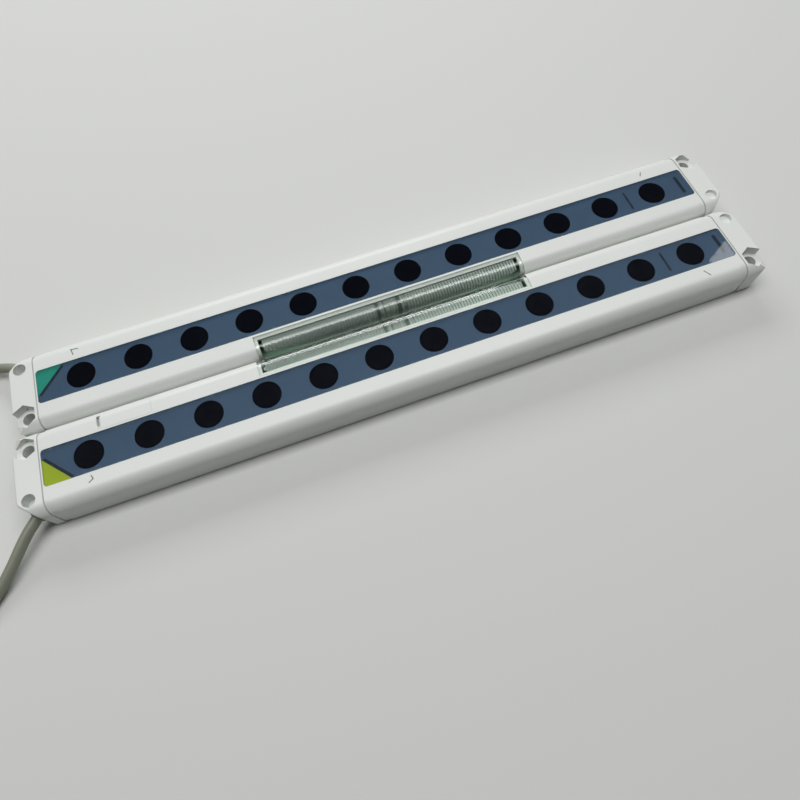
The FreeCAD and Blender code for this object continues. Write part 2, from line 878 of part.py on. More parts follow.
def main():
    """Make both bars and write one STEP file for each piece."""
    os.makedirs("parts", exist_ok=True)
    nodes = bar_pieces("emitter_", 1, row_route(emitter_route, 1), 1)
    nodes.update(bar_pieces("receiver_", -1, row_route(receiver_route, -1), -1))
    for name, solids in nodes.items():
        shape = solids[0] if len(solids) == 1 else Part.makeCompound(solids)
        if not shape.isValid():
            print("not valid:", name)
        shape.exportStep("parts/" + name + ".step")


main()
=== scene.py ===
import math
from functools import partial

import bmesh
import bpy
from mathutils import Matrix, Vector


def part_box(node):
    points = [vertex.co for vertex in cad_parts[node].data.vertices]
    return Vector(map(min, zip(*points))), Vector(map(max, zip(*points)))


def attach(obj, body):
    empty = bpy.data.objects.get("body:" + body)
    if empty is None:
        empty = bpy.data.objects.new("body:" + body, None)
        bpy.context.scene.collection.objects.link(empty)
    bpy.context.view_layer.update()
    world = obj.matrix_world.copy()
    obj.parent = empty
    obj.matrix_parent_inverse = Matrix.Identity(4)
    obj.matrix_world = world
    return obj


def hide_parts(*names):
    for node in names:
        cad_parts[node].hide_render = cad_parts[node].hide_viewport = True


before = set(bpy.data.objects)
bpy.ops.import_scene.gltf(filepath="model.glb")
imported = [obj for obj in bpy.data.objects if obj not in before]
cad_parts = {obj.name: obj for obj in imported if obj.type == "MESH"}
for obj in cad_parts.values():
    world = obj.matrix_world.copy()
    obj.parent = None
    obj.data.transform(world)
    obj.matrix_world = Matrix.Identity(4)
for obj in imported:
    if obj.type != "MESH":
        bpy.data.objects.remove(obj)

bl_info = {
    "name": "Safety light curtain",
    "version": (1, 0, 0),
    "blender": (4, 5, 0),
    "location": "View3D > Sidebar > Light curtain",
    "description": "Dresses a pair of light curtain bars with their windows, indicators, screws and cables",
    "category": "Object",
}

MM = 0.001
MERGE = 0.002 * MM
SIDES = {"emitter": 1, "receiver": -1}


def linear(code):
    """An sRGB colour given as a hex string, in linear light with an alpha of 1."""
    values = []
    for start in (1, 3, 5):
        value = int(code[start:start + 2], 16) / 255
        values.append(value / 12.92 if value <= 0.04045 else ((value + 0.055) / 1.055) ** 2.4)
    return (*values, 1.0)


def colour(name, description, code):
    """A colour property with its default given as an sRGB hex string."""
    return bpy.props.FloatVectorProperty(
        name=name, description=description, subtype="COLOR", size=4, min=0, max=1, default=linear(code)
    )


def length(name, description, default):
    """A length property whose default is given in millimetres."""
    return bpy.props.FloatProperty(
        name=name, description=description, unit="LENGTH", min=0, precision=5, default=default * MM
    )


def power(name, description, default):
    """A lamp's power property, in watts."""
    return bpy.props.FloatProperty(name=name, description=description, unit="POWER", min=0, default=default)


class CurtainColours(bpy.types.PropertyGroup):
    """Colours of the mouldings, prints and cables."""

    housing: colour("Housing", "Pale grey ABS of the housings and end caps", "#DDE0DC")
    film: colour("Film", "Ink of the printed film behind the front window", "#384E64")
    film_print: colour("Film marks", "Darker ink of the marks on the film", "#101B29")
    emitter_patch: colour("Emitter patch", "Ink of the far bar's corner patch", "#238573")
    receiver_patch: colour("Receiver patch", "Ink of the near bar's corner patch", "#93A627")
    lens: colour("Lenses", "Dye of the dark lens strip", "#02040C")
    guide: colour("Light guide", "Milky tint of the light guide", "#DCE6E0")
    cable: colour("Cable", "PVC sheath of the cables", "#878A7B")
    rubber: colour("Rubber", "Gaskets between housing and caps", "#B4B8B3")


class CurtainCable(bpy.types.PropertyGroup):
    """Sizes of the two cables."""

    diameter: length("Diameter", "Outside diameter of the sheath", 3.6)
    length: length("Length", "Length of each cable from its bar", 2000.0)
    coil_radius: length("Coil radius", "Middle radius of the coil's turns", 21.0)
    copper_length: length("Copper length", "Length of the bare copper at each core's end", 3.5)
    tie_width: length("Tie width", "Width of the strap round the coil", 4.0)


class CurtainDetails(bpy.types.PropertyGroup):
    """Sizes of the small details."""

    edge_round: length("Edge round", "Round on the mouldings' sharp edges", 0.12)
    window_gap: length("Window gap", "Air between the film and the window above it", 0.06)
    mark_width: length("Mark width", "Width of the thin axis marks", 0.36)
    mark_depth: length("Mark thickness", "Thickness of the ink of a mark", 0.02)
    rib_pitch: length("Rib pitch", "Distance from one rib of the light guide to the next", 1.1)
    rib_height: length("Rib height", "How far a rib stands out of the light guide", 0.2)


class CurtainStage(bpy.types.PropertyGroup):
    """The setting."""

    floor_size: length("Floor size", "Side of the square floor", 6000.0)
    floor_colour: colour("Floor", "Colour of the floor", "#D4D5D2")
    key_power: power("Overhead lamp", "Power of the soft lamp overhead", 8.4)
    rear_power: power("Rear lamp", "Power of the low soft lamp behind", 5.0)
    strip_power: power("Strip lamp", "Power of the lamp mirrored in the near window", 0.062)
    lens_length: bpy.props.FloatProperty(
        name="Lens", description="Focal length on a 36 mm wide sensor", unit="CAMERA", min=1, default=26.52
    )


def settings(name):
    """One of the add-on's groups of properties, on the current scene."""
    return getattr(bpy.context.scene, "curtain_" + name)


def add_node(tree, kind, inputs=None, **values):
    """Add a shader node, set its values, and set its inputs or link them to sockets or first outputs."""
    made = tree.nodes.new("ShaderNode" + kind)
    for key, value in values.items():
        setattr(made, key, value)
    for key, value in (inputs or {}).items():
        if isinstance(value, bpy.types.Node):
            value = value.outputs[0]
        if isinstance(value, bpy.types.NodeSocket):
            tree.links.new(value, made.inputs[key])
        else:
            made.inputs[key].default_value = value
    return made


def new_material(name):
    """An empty node material, what adds nodes to it, and the object's own coordinates in it."""
    material = bpy.data.materials.new(name)
    material.use_nodes = True
    material.node_tree.nodes.clear()
    add = partial(add_node, material.node_tree)
    return material, add, add("TexCoord").outputs["Object"]


def finish_material(material, shader):
    """Join a shader to its material's output, and give the material back."""
    add_node(material.node_tree, "OutputMaterial", {"Surface": shader})
    return material


def per(millimetres):
    """The scale of a pattern that repeats once in that many millimetres."""
    return 1 / (millimetres * MM)


def mottled(add, place, base, size, detail, dark, light):
    """Clouds of a size in millimetres, and the colour that they take from darker to lighter than the base."""
    clouds = add("TexNoise", {"Vector": place, "Scale": per(size), "Detail": detail})
    low, high = (tuple(min(value * share, 1.0) for value in base[:3]) + (1.0,) for share in (dark, light))
    tone = add("Mix", {0: clouds, 6: low, 7: high}, data_type="RGBA")
    return clouds, tone.outputs[2]


def moulded_abs(name, base):
    # ABS, injection moulded in a spark-eroded tool: a fine even grain that softens every highlight,
    # with faint cloudy changes in tone. The real grain is about 0.05 mm; drawn at 0.35 mm to show.
    material, add, place = new_material(name)
    tone = mottled(add, place, base, size=28.0, detail=3.0, dark=0.97, light=1.03)[1]
    grain = add("TexNoise", {"Vector": place, "Scale": per(0.35), "Detail": 2.0})
    sheen = add("MapRange", {"Value": grain, "To Min": 0.36, "To Max": 0.46})
    bump = add("Bump", {"Height": grain, "Strength": 0.25, "Distance": 0.02 * MM})
    shader = add("BsdfPrincipled", {"Base Color": tone, "Roughness": sheen, "Normal": bump, "IOR": 1.53})
    return finish_material(material, shader)


def printed_ink(name, base, roughness, spread):
    # Ink screen-printed on clear polyester film that lies wet against what covers it: even, with
    # hardly a shine of its own, and a little mottled where the ink is thin. The dots of the print
    # are about 0.1 mm; drawn at 0.5 mm to show.
    material, add, place = new_material(name)
    tone = mottled(add, place, base, size=0.5, detail=3.0, dark=1 - spread, light=1 + spread)[1]
    shader = add(
        "BsdfPrincipled", {"Base Color": tone, "Roughness": roughness, "IOR": 1.5, "Specular IOR Level": 0.1}
    )
    return finish_material(material, shader)


def dark_acrylic(name, base):
    # Acrylic dyed to pass infrared only, injection moulded and polished: near black with a hint of
    # blue, and mirror smooth but for fine hairlines about 0.3 mm apart.
    material, add, place = new_material(name)
    hairlines = add("TexNoise", {"Vector": place, "Scale": per(0.3), "Detail": 4.0})
    gloss = add("MapRange", {"Value": hairlines, "To Min": 0.03, "To Max": 0.06})
    shader = add(
        "BsdfPrincipled", {"Base Color": base, "Roughness": gloss, "IOR": 1.49, "Specular IOR Level": 0.1}
    )
    return finish_material(material, shader)


def clear_plastic(name, tint, wave, least, most):
    # Clear acrylic, injection moulded and polished: see-through, with a crisp reflection that wavers a
    # little where the surface sank as it cooled, and with faint smears about 6 mm apart.
    material, add, place = new_material(name)
    sink = add("TexNoise", {"Vector": place, "Scale": per(wave), "Detail": 1.0})
    bump = add("Bump", {"Height": sink, "Strength": 0.15, "Distance": 0.03 * MM})
    smears = add("TexNoise", {"Vector": place, "Scale": per(6.0), "Detail": 4.0})
    gloss = add("MapRange", {"Value": smears, "To Min": least, "To Max": most})
    shader = add(
        "BsdfPrincipled",
        {"Base Color": tint, "Roughness": gloss, "Normal": bump, "IOR": 1.49, "Transmission Weight": 1.0},
    )
    return finish_material(material, let_light_through(add, shader, tint))


def let_light_through(add, shader, tint):
    """Let the lamps' light go straight through a clear part to what lies behind, and back out of it."""
    path = add("LightPath").outputs
    straight = add("Math", {0: path["Is Shadow Ray"], 1: path["Is Diffuse Ray"]}, operation="MAXIMUM")
    through = add("BsdfTransparent", {"Color": tint})
    return add("MixShader", {0: straight, 1: shader, 2: through})


def ribbed_acrylic(name, tint, pitch, block_half):
    # Acrylic moulded with a fine texture that spreads the light sideways: milky. Its colour holds painted
    # light: painted shade that darkens it at the left and a painted highlight at the right, a painted
    # shaded line in the root of each rib that shows most at the right, and painted shade as dark streaks
    # about 2 mm apart in the plain block in its middle, where one sees down into it.
    material, add, place = new_material(name)
    x = add("SeparateXYZ", {"Vector": place}).outputs["X"]
    turns = add("Math", {0: x, 1: 1 / pitch}, operation="MULTIPLY")
    wave = add("Math", {0: turns, 1: 0.5}, operation="PINGPONG")
    root = add("MapRange", {"Value": wave, "From Min": 0.2, "From Max": 0.45})
    # Painted light along the guide: darker at the left, lighter at the right.
    along = add(
        "MapRange", {"Value": x, "From Min": -30 * MM, "From Max": 30 * MM, "To Min": 0.1, "To Max": 0.9}
    )
    # Painted shade in the root of each rib, strongest at the right.
    lines = add("Math", {0: along, 1: root}, operation="MULTIPLY")
    only_x = add("CombineXYZ", {"X": x})
    # Painted shade as dark streaks, only in the plain block in the middle.
    noise = add("TexNoise", {"Vector": only_x, "Scale": per(2.0), "Detail": 1.0})
    streak = add("MapRange", {"Value": noise, "From Min": 0.47, "From Max": 0.57})
    distance = add("Math", {0: x}, operation="ABSOLUTE")
    inside = add("Math", {0: distance, 1: block_half}, operation="LESS_THAN")
    streaks = add("Math", {0: inside, 1: streak}, operation="MULTIPLY")
    depth = add("Math", {0: lines, 1: streaks}, operation="MAXIMUM")
    # Painted shade: the tint at half its brightness, mixed in towards the left.
    shaded = tuple(value * 0.5 for value in tint[:3]) + (1.0,)
    milk_with_painted_light = add("Mix", {0: along, 6: shaded, 7: tint}, data_type="RGBA").outputs[2]
    # The dark colour that all the painted shade goes to.
    tone = add("Mix", {0: depth, 6: milk_with_painted_light, 7: linear("#52645A")}, data_type="RGBA")
    shader = add(
        "BsdfPrincipled",
        {
            "Base Color": tone.outputs[2],
            "Roughness": 0.3,
            "IOR": 1.49,
            "Specular IOR Level": 0.3,
            "Transmission Weight": 0.5,
        },
    )
    return finish_material(material, let_light_through(add, shader, tint))


def plain_moulding(name, base, roughness, grain_size, index=1.5):
    # Plastic, resin or rubber, moulded, extruded or cut from sheet, or a painted board: a matt
    # surface with a fine grain of the given size, a touch lighter on the grain's crests.
    material, add, place = new_material(name)
    grain, tone = mottled(add, place, base, size=grain_size, detail=3.0, dark=0.85, light=1.15)
    bump = add("Bump", {"Height": grain, "Strength": 0.3, "Distance": 0.03 * MM})
    shader = add("BsdfPrincipled", {"Base Color": tone, "Roughness": roughness, "Normal": bump, "IOR": index})
    return finish_material(material, shader)


def plated_metal(name, base, roughness):
    # Turned steel or drawn copper with a thin bright plating: metallic, with fine turning marks
    # about 0.15 mm apart that stretch the highlight.
    material, add, place = new_material(name)
    marks = add("TexNoise", {"Vector": place, "Scale": per(0.15), "Detail": 2.0})
    gloss = add("MapRange", {"Value": marks, "To Min": roughness * 0.8, "To Max": roughness * 1.3})
    shader = add("BsdfPrincipled", {"Base Color": base, "Roughness": gloss, "Metallic": 1.0})
    return finish_material(material, shader)


def extruded_pvc(name, base):
    # Soft PVC extruded as the cable's sheath: satin, faintly drawn along its length and slightly
    # uneven where the cores lie under it. The unevenness repeats every 9 mm or so.
    material, add, place = new_material(name)
    tone = mottled(add, place, base, size=9.0, detail=1.0, dark=0.9, light=1.1)[1]
    grain = add("TexNoise", {"Vector": place, "Scale": per(0.4), "Detail": 2.0})
    bump = add("Bump", {"Height": grain, "Strength": 0.25, "Distance": 0.03 * MM})
    shader = add("BsdfPrincipled", {"Base Color": tone, "Roughness": 0.42, "Normal": bump, "IOR": 1.53})
    return finish_material(material, shader)


def deselect():
    """Leave edit mode and deselect everything."""
    if bpy.context.mode != "OBJECT":
        bpy.ops.object.mode_set(mode="OBJECT")
    bpy.ops.object.select_all(action="DESELECT")


def activate(piece):
    """Select one piece alone and make it the active one."""
    deselect()
    piece.select_set(True)
    bpy.context.view_layer.objects.active = piece


def edit(piece):
    """Enter edit mode on one piece with all of it selected."""
    activate(piece)
    bpy.ops.object.mode_set(mode="EDIT")
    bpy.ops.mesh.select_all(action="SELECT")


def pick(piece, kind, test):
    """In edit mode, select the faces or edges whose middle, and normal or direction, pass the test."""
    bpy.ops.mesh.select_mode(type=kind)
    bpy.ops.mesh.select_all(action="DESELECT")
    mesh = bmesh.from_edit_mesh(piece.data)
    if kind == "FACE":
        for face in mesh.faces:
            face.select_set(test(face.calc_center_median(), face.normal))
    else:
        for line in mesh.edges:
            first, last = (vertex.co for vertex in line.verts)
            line.select_set(test((first + last) / 2, (last - first).normalized()))
    mesh.select_flush_mode()
    bmesh.update_edit_mesh(piece.data)


def bevel(piece, kind, test, size, segments):
    """In edit mode, round the edges that pass a test, or those of the faces that do."""
    pick(piece, kind, test)
    bpy.ops.mesh.bevel(offset=size, segments=segments, affect="EDGES")


def settle(name):
    """Name the piece just added and put its place into its mesh."""
    piece = bpy.context.object
    activate(piece)
    piece.name = name
    piece.data.name = name
    bpy.ops.object.transform_apply(location=True, rotation=True, scale=True)
    return piece


def hand_over(piece, material, slot, *nodes):
    """Give a piece its material, put it on the body and let it stand for its nodes. The slot is not used."""
    if material is not None:
        piece.data.materials.clear()
        piece.data.materials.append(material)
    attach(piece, "root")
    if nodes:
        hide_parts(*nodes)
    return piece


def paint(node, material):
    """Give a CAD node that keeps its shape a better material."""
    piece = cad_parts[node]
    piece.data.materials.clear()
    piece.data.materials.append(material)


def paint_nodes(**materials):
    """Give both bars' nodes better materials, each by the end of the node's name."""
    for side_name in SIDES:
        for ending, material in materials.items():
            paint(f"{side_name}_{ending}", material)


def modify(piece, kind, **values):
    """Give a piece a modifier with its values, and apply it."""
    activate(piece)
    change = piece.modifiers.new(kind, kind)
    for key, value in values.items():
        setattr(change, key, value)
    bpy.ops.object.modifier_apply(modifier=change.name)


def merged_copy(node, name):
    """A copy of a CAD node with its own merged mesh, ready to be shaped."""
    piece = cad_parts[node].copy()
    piece.data = piece.data.copy()
    for key in list(piece.keys()):
        del piece[key]
    piece.parent = None
    bpy.context.scene.collection.objects.link(piece)
    piece.name = name
    piece.data.name = name
    edit(piece)
    bpy.ops.mesh.remove_doubles(threshold=MERGE)
    bpy.ops.mesh.customdata_custom_splitnormals_clear()
    bpy.ops.object.mode_set(mode="OBJECT")
    return piece


def round_edges(piece, width, angle):
    """Round the edges of a piece that are sharper than an angle in degrees, and shade it smooth."""
    edit(piece)
    bpy.ops.mesh.dissolve_limited(angle_limit=math.radians(1.0))
    modify(piece, "BEVEL", width=width, segments=2, angle_limit=math.radians(angle))
    smooth(piece, angle)


def carve(piece, tool, operation):
    """Change a piece by a tool's solid, and delete the tool."""
    modify(piece, "BOOLEAN", operation=operation, solver="EXACT", object=tool)
    bpy.data.objects.remove(tool)
    edit(piece)
    bpy.ops.mesh.remove_doubles(threshold=MERGE)
    bpy.ops.mesh.dissolve_degenerate(threshold=MERGE)
    bpy.ops.object.mode_set(mode="OBJECT")


def smooth(piece, angle):
    """Shade a piece smooth up to an angle in degrees, and keep its large faces flat beside small rounds."""
    activate(piece)
    bpy.ops.object.shade_smooth_by_angle(angle=math.radians(angle))
    modify(piece, "WEIGHTED_NORMAL", weight=100, keep_sharp=True)


def plate(name, low, high):
    """A flat block between two corners, ready to be shaped, with its place in its mesh."""
    low, high = Vector(low), Vector(high)
    deselect()
    bpy.ops.mesh.primitive_cube_add(size=1, location=(low + high) / 2, scale=high - low)
    return settle(name)


def rounded_plate(name, low, high, size, segments):
    """A plate with its four upright edges rounded."""
    piece = plate(name, low, high)
    edit(piece)
    bevel(piece, "EDGE", lambda middle, along: abs(along.z) > 0.9, size, segments)
    bpy.ops.object.mode_set(mode="OBJECT")
    return piece


def stroke(name, center, along, span, width, heights, size, segments):
    """A printed stroke laid along a direction, between two heights from its centre's."""
    low, high = ((share * span, share * width, z) for share, z in zip((-0.5, 0.5), heights))
    piece = rounded_plate(name, low, high, size, segments)
    turn = Matrix.Rotation(math.atan2(along.y, along.x), 4, "Z")
    piece.data.transform(Matrix.Translation(center) @ turn)
    return piece


def join(pieces, name):
    """Join several pieces into one."""
    activate(pieces[0])
    for piece in pieces:
        piece.select_set(True)
    bpy.ops.object.join()
    pieces[0].name = name
    pieces[0].data.name = name
    return pieces[0]


def copy_of(piece, name, matrix):
    """A copy of a piece with its own mesh, moved by a matrix."""
    made = piece.copy()
    made.data = piece.data.copy()
    made.name = name
    made.data.name = name
    bpy.context.scene.collection.objects.link(made)
    made.data.transform(matrix)
    return made


class CURTAIN_OT_stage(bpy.types.Operator):
    """Set the floor, the lamps and the camera"""

    bl_idname = "curtain.stage"
    bl_label = "Stage"

    # Each lamp's name, its place, target, width and depth in metres, and the setting of its power.
    lamps = (
        ("overhead lamp", (0.0, 0.12, 0.95), (0, 0.05, 0), (1.4, 0.42), "key_power"),
        ("rear lamp", (0.0, 0.95, 0.55), (0, 0, 0), (0.8, 0.3), "rear_power"),
        ("strip lamp", (0.58, 0.205, 0.49), (0.122, -0.02, 0.013), (0.1, 0.1), "strip_power"),
    )
    # The camera's place in metres and its directions, as they were fitted to the photo.
    camera_place = (-0.03014, -0.10896, 0.19124)
    camera_forward = (0.1059, 0.3902, -0.9146)
    camera_up = (0.3221, 0.8567, 0.4028)

    def execute(self, context):
        stage = settings("stage")
        deselect()
        bpy.ops.mesh.primitive_plane_add(size=stage.floor_size, location=(0, 0, 0))
        floor = settle("floor")
        # Painted studio board: even and matt.
        material, add, place = new_material("painted board")
        tone = mottled(add, place, stage.floor_colour, size=400.0, detail=1.0, dark=0.99, light=1.0)[1]
        shader = add("BsdfPrincipled", {"Base Color": tone, "Roughness": 0.9, "Specular IOR Level": 0.1})
        floor.data.materials.append(finish_material(material, shader))

        world = bpy.data.worlds.new("studio")
        context.scene.world = world
        world.use_nodes = True
        tree = world.node_tree
        tree.nodes.clear()
        glow = add_node(tree, "Background", {"Color": (0.95, 0.98, 1.0, 1.0), "Strength": 0.03})
        add_node(tree, "OutputWorld", {"Surface": glow})

        for name, place, target, size, power_name in self.lamps:
            deselect()
            bpy.ops.object.light_add(type="AREA", location=place)
            lamp = context.object
            lamp.name = name
            lamp.data.shape = "RECTANGLE"
            lamp.data.size, lamp.data.size_y = size
            lamp.data.energy = getattr(stage, power_name)
            lamp.rotation_euler = (Vector(target) - Vector(place)).to_track_quat("-Z", "Y").to_euler()

        deselect()
        bpy.ops.object.camera_add()
        camera = context.object
        camera.name = "camera"
        camera.data.lens = stage.lens_length
        camera.data.sensor_width = 36
        camera.data.clip_start = 0.01
        forward = Vector(self.camera_forward).normalized()
        right = forward.cross(Vector(self.camera_up)).normalized()
        turn = Matrix((right, right.cross(forward), -forward)).transposed().to_4x4()
        camera.matrix_world = Matrix.Translation(self.camera_place) @ turn
        context.scene.camera = camera
        context.scene.view_settings.view_transform = "Standard"
        return {"FINISHED"}


# The middle of each cable's exit from its cap, in millimetres in the frame.
EXITS = {"emitter": (-130.65, 27.45), "receiver": (-131.95, -27.45)}
# Each cable's route from there to its coil: the distances from the exit and the height above the floor.
ROUTES = {
    "emitter": (
        (2.12, -2.12, 6.0), (-2.26, 2.26, 6.0), (-7.7, 5.4, 5.2),
        (-15.2, 8.2, 3.2), (-23.4, 10.8, 1.85), (-30.9, 12.6, 1.85),
    ),
    "receiver": (
        (2.12, 2.12, 6.0), (-2.26, -2.26, 6.0), (-6.3, -7.0, 5.3),
        (-11.4, -13.5, 3.6), (-17.9, -20.2, 1.85), (-24.6, -26.2, 1.85),
    ),
}
# From a route's last point to where its coil starts, in millimetres; how far the coil's outermost
# turns lie outside its middle radius, in cable diameters; and where the last turn ends, in degrees.
LEAD_IN = 13.99
OUTER_COLUMN = 1.5
TAIL_END = 5190.0


def coil_place(name):
    """A route's points, its coil's centre and outer radius, and the angle in radians where they join."""
    cable = settings("cable")
    exit_x, exit_y = EXITS[name]
    points = [Vector((exit_x + dx, exit_y + dy, z)) for dx, dy, z in ROUTES[name]]
    travel = (points[-1] - points[-2]).normalized()
    inwards = Vector((-travel.y, travel.x, 0)) * SIDES[name]
    reach = (cable.coil_radius + OUTER_COLUMN * cable.diameter) / MM
    center = points[-1] + travel * LEAD_IN + inwards * reach
    return points, center, reach, math.atan2(-inwards.y, -inwards.x)


class CURTAIN_OT_cables(bpy.types.Operator):
    """Lay the two cables, each wound into a tied coil beyond the left of the picture"""

    bl_idname = "curtain.cables"
    bl_label = "Cables"

    turn_points = 16
    lowest_layer = 1.85
    # Where each move to the next column or layer starts, in degrees, and its steps across and up.
    moves = (
        (300, -1, 0), (660, -1, 0), (1020, -1, 0), (1320, 0, 1),
        (1620, 1, 0), (1980, 1, 0), (2340, 1, 0), (2640, 0, 1),
        (2940, -1, 0), (3300, -1, 0), (3660, -1, 0), (3960, 0, 1),
        (4260, 1, 0), (4620, 1, 0), (4980, 1, 0),
    )
    move_angle = 60
    # A control point lies a little outside the smooth line that it bends: the ratio of their radii.
    bend = 0.981

    def execute(self, context):
        cable = settings("cable")
        sheath = extruded_pvc("extruded PVC sheath", settings("colours").cable)
        for name in SIDES:
            points = self.control_points(name)
            curve = bpy.data.curves.new(name + "_wound_cable", "CURVE")
            curve.dimensions = "3D"
            curve.bevel_depth = cable.diameter / 2
            curve.bevel_resolution = 4
            curve.resolution_u = 6
            curve.use_fill_caps = True
            spline = curve.splines.new("NURBS")
            spline.points.add(len(points) - 1)
            for point, place in zip(spline.points, points):
                point.co = (*(value * MM for value in place), 1.0)
            spline.order_u = 3
            spline.use_endpoint_u = True
            piece = bpy.data.objects.new(name + "_wound_cable", curve)
            context.scene.collection.objects.link(piece)
            hand_over(piece, sheath, "cable_sheath", name + "_cable", name + "_cable_coil")
        return {"FINISHED"}

    def control_points(self, name):
        """The route's points, then the coil's turns, wound inwards and outwards a layer at a time."""
        points, center, _, start = coil_place(name)
        step = 360 / self.turn_points
        turns = []
        angle = step / 2
        while angle < TAIL_END - step / 4:
            turns.append((angle, 1 / self.bend))
            angle += step
        turns.append((TAIL_END, 1.0))
        for angle, share in turns:
            radius, height = self.winding(angle)
            around = start + SIDES[name] * math.radians(angle)
            x = center.x + radius * share * math.cos(around)
            y = center.y + radius * share * math.sin(around)
            points.append(Vector((x, y, height)))
        return points

    def winding(self, angle):
        """The radius and height of the winding at an angle in degrees from where it starts."""
        pitch = settings("cable").diameter / MM
        column, layer = OUTER_COLUMN, 0.0
        for start, across, up in self.moves:
            share = min(max((angle - start) / self.move_angle, 0), 1)
            share = share * share * (3 - 2 * share)
            column += across * share
            layer += up * share
        return settings("cable").coil_radius / MM + column * pitch, self.lowest_layer + layer * pitch


class CURTAIN_OT_cable_ends(bpy.types.Operator):
    """Bare the cores at the end of each cable"""

    bl_idname = "curtain.cable_ends"
    bl_label = "Cable ends"

    insulation = (("brown", "#5B3422"), ("white", "#DCDCD6"), ("blue", "#1F4E8C"), ("black", "#16171A"))
    # The four cores, in millimetres: the height of their middle, how far each lies from it at the
    # sheath and across it at the tips, how far they start inside the sheath and end outside it.
    middle_height = 12.6
    spacing = 0.75
    tip_spacing = 1.0
    inside = 0.6
    outside = 15.0
    # One core, in millimetres: its radius, the width and height of the round at the insulation's end,
    # the insulation's wall inside it, the width and height of the strands' chamfer, and both heights
    # together with a little air.
    core_radius = 0.55
    rim = (0.06, 0.04)
    wall = 0.16
    tip = (0.08, 0.1)
    heights = 0.15
    # A height between the rim's top and the strands' chamfer, from where the insulation ends.
    above_rim = 0.1

    def execute(self, context):
        copper = plated_metal("tinned copper strands", linear("#C9A07A"), 0.3)
        finishes = [
            plain_moulding("extruded PVC insulation, " + name, linear(code), 0.45, 0.3)
            for name, code in self.insulation
        ]
        for name in SIDES:
            lines = zip(self.core_lines(name), finishes)
            cores = [self.core(name + "_core", *line, finish, copper) for line, finish in lines]
            piece = join(cores, name + "_core_ends")
            hand_over(piece, None, "core_insulation", name + "_cable_cores")
        return {"FINISHED"}

    def core_lines(self, name):
        """The two ends of each core's line, at the end of the coil's last turn."""
        _, center, reach, start = coil_place(name)
        around = start + SIDES[name] * math.radians(TAIL_END % 360)
        outwards = Vector((math.cos(around), math.sin(around), 0))
        onward = Vector((-math.sin(around), math.cos(around), 0)) * SIDES[name]
        end = Vector((center.x, center.y, self.middle_height)) + outwards * reach
        lines = []
        for across, lift in ((-1, -1), (1, -1), (-1, 1), (1, 1)):
            height = Vector((0, 0, lift * self.spacing))
            near = end + outwards * (across * self.spacing) + height - onward * self.inside
            far = end + outwards * (across * self.tip_spacing) + height + onward * self.outside
            lines.append((near * MM, far * MM))
        return lines

    def core(self, name, start, end, insulation, copper):
        """One core: its insulation, and the bare strands that stand out of it."""
        bare = settings("cable").copper_length
        along = (end - start).normalized()
        covered = (end - start).length - bare
        rim_width, rim_height = self.rim
        tip_width, tip_height = self.tip
        deselect()
        bpy.ops.mesh.primitive_cylinder_add(
            vertices=14,
            radius=self.core_radius * MM,
            depth=covered,
            location=start + along * covered / 2,
            rotation=along.to_track_quat("Z", "Y").to_euler(),
        )
        piece = settle(name)
        piece.data.materials.append(insulation)
        piece.data.materials.append(copper)
        edit(piece)
        pick(piece, "FACE", lambda middle, normal: normal.dot(along) > 0.9)
        bpy.ops.mesh.inset(thickness=rim_width * MM)
        bpy.ops.transform.translate(value=along * rim_height * MM)
        bpy.ops.mesh.inset(thickness=self.wall * MM)
        piece.active_material_index = 1
        bpy.ops.mesh.extrude_region_move(TRANSFORM_OT_translate={"value": along * (bare - self.heights * MM)})
        bpy.ops.object.material_slot_assign()
        bpy.ops.mesh.inset(thickness=tip_width * MM)
        bpy.ops.transform.translate(value=along * tip_height * MM)
        beyond_rim = start + along * (covered + self.above_rim * MM)
        pick(piece, "FACE", lambda middle, normal: (middle - beyond_rim).dot(along) > 0)
        bpy.ops.object.material_slot_assign()
        smooth(piece, 40)
        return piece


